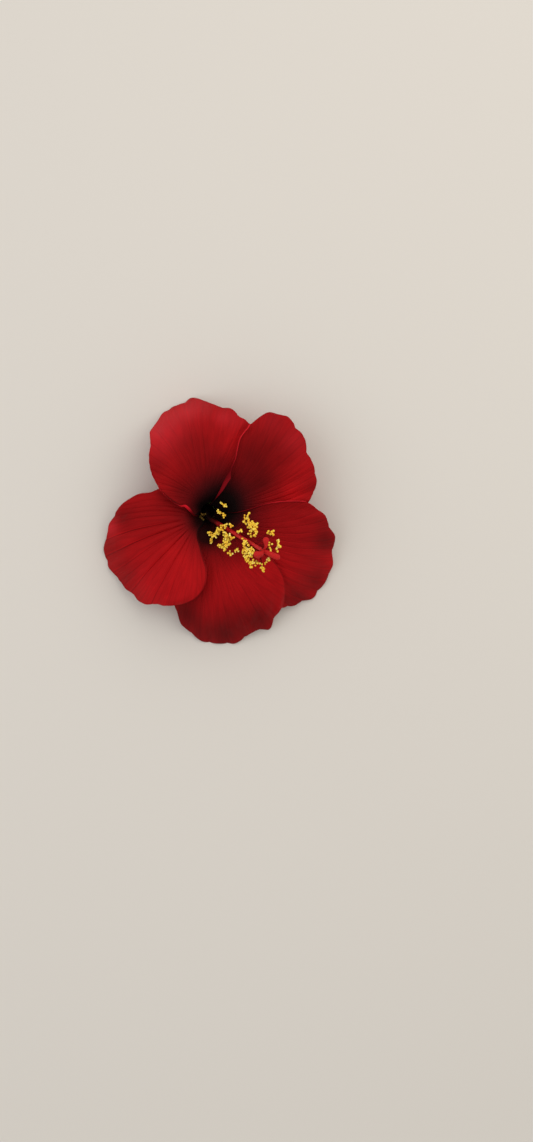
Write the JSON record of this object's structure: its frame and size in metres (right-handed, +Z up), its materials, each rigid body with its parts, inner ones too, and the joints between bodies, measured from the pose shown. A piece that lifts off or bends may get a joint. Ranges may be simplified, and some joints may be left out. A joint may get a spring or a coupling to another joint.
{
  "type": "hibiscus flower",
  "caption": "Open hibiscus bloom picked with a short stalk, its overlapping petals ruffled and its stamen column leaning out of the throat.",
  "frame": {"origin": "under the middle of the bloom's box, on the surface it rests on", "axes": "+Z up, out of the open face of the bloom; +Y towards the petal named upper left, +X towards the petal named right"},
  "size_m": [0.1237, 0.1318, 0.0605],
  "materials": {
    "petal_red": "satin, soft petal tissue",
    "column_red": "satin, soft plant tissue",
    "stigma_red": "velvety, matt",
    "pollen_yellow": "powdery, matt",
    "sepal_green": "satin leaf tissue",
    "stalk_green": "satin plant stem"
  },
  "bodies": {
    "root": {"anther_01": "pollen_yellow", "anther_02": "pollen_yellow", "anther_03": "pollen_yellow", "anther_04": "pollen_yellow", "anther_05": "pollen_yellow", "anther_06": "pollen_yellow", "anther_07": "pollen_yellow", "anther_08": "pollen_yellow", "anther_09": "pollen_yellow", "anther_10": "pollen_yellow", "anther_11": "pollen_yellow", "anther_12": "pollen_yellow", "anther_13": "pollen_yellow", "anther_14": "pollen_yellow", "anther_15": "pollen_yellow", "anther_16": "pollen_yellow", "anther_17": "pollen_yellow", "anther_18": "pollen_yellow", "anther_19": "pollen_yellow", "anther_20": "pollen_yellow", "anther_21": "pollen_yellow", "anther_22": "pollen_yellow", "anther_23": "pollen_yellow", "anther_24": "pollen_yellow", "anther_25": "pollen_yellow", "anther_26": "pollen_yellow", "anther_27": "pollen_yellow", "anther_28": "pollen_yellow", "anther_29": "pollen_yellow", "anther_30": "pollen_yellow", "anther_31": "pollen_yellow", "anther_32": "pollen_yellow", "anther_33": "pollen_yellow", "anther_34": "pollen_yellow", "anther_35": "pollen_yellow", "anther_36": "pollen_yellow", "anther_37": "pollen_yellow", "anther_38": "pollen_yellow", "anther_39": "pollen_yellow", "bract_1": "sepal_green", "bract_2": "sepal_green", "bract_3": "sepal_green", "bract_4": "sepal_green", "bract_5": "sepal_green", "bract_6": "sepal_green", "bract_7": "sepal_green", "calyx": "sepal_green", "pedicel": "stalk_green", "petal_left": "petal_red", "petal_lower": "petal_red", "petal_right": "petal_red", "petal_upper_left": "petal_red", "petal_upper_right": "petal_red", "pistil": "stigma_red", "staminal_column": "column_red"}
  },
  "joints": []
}
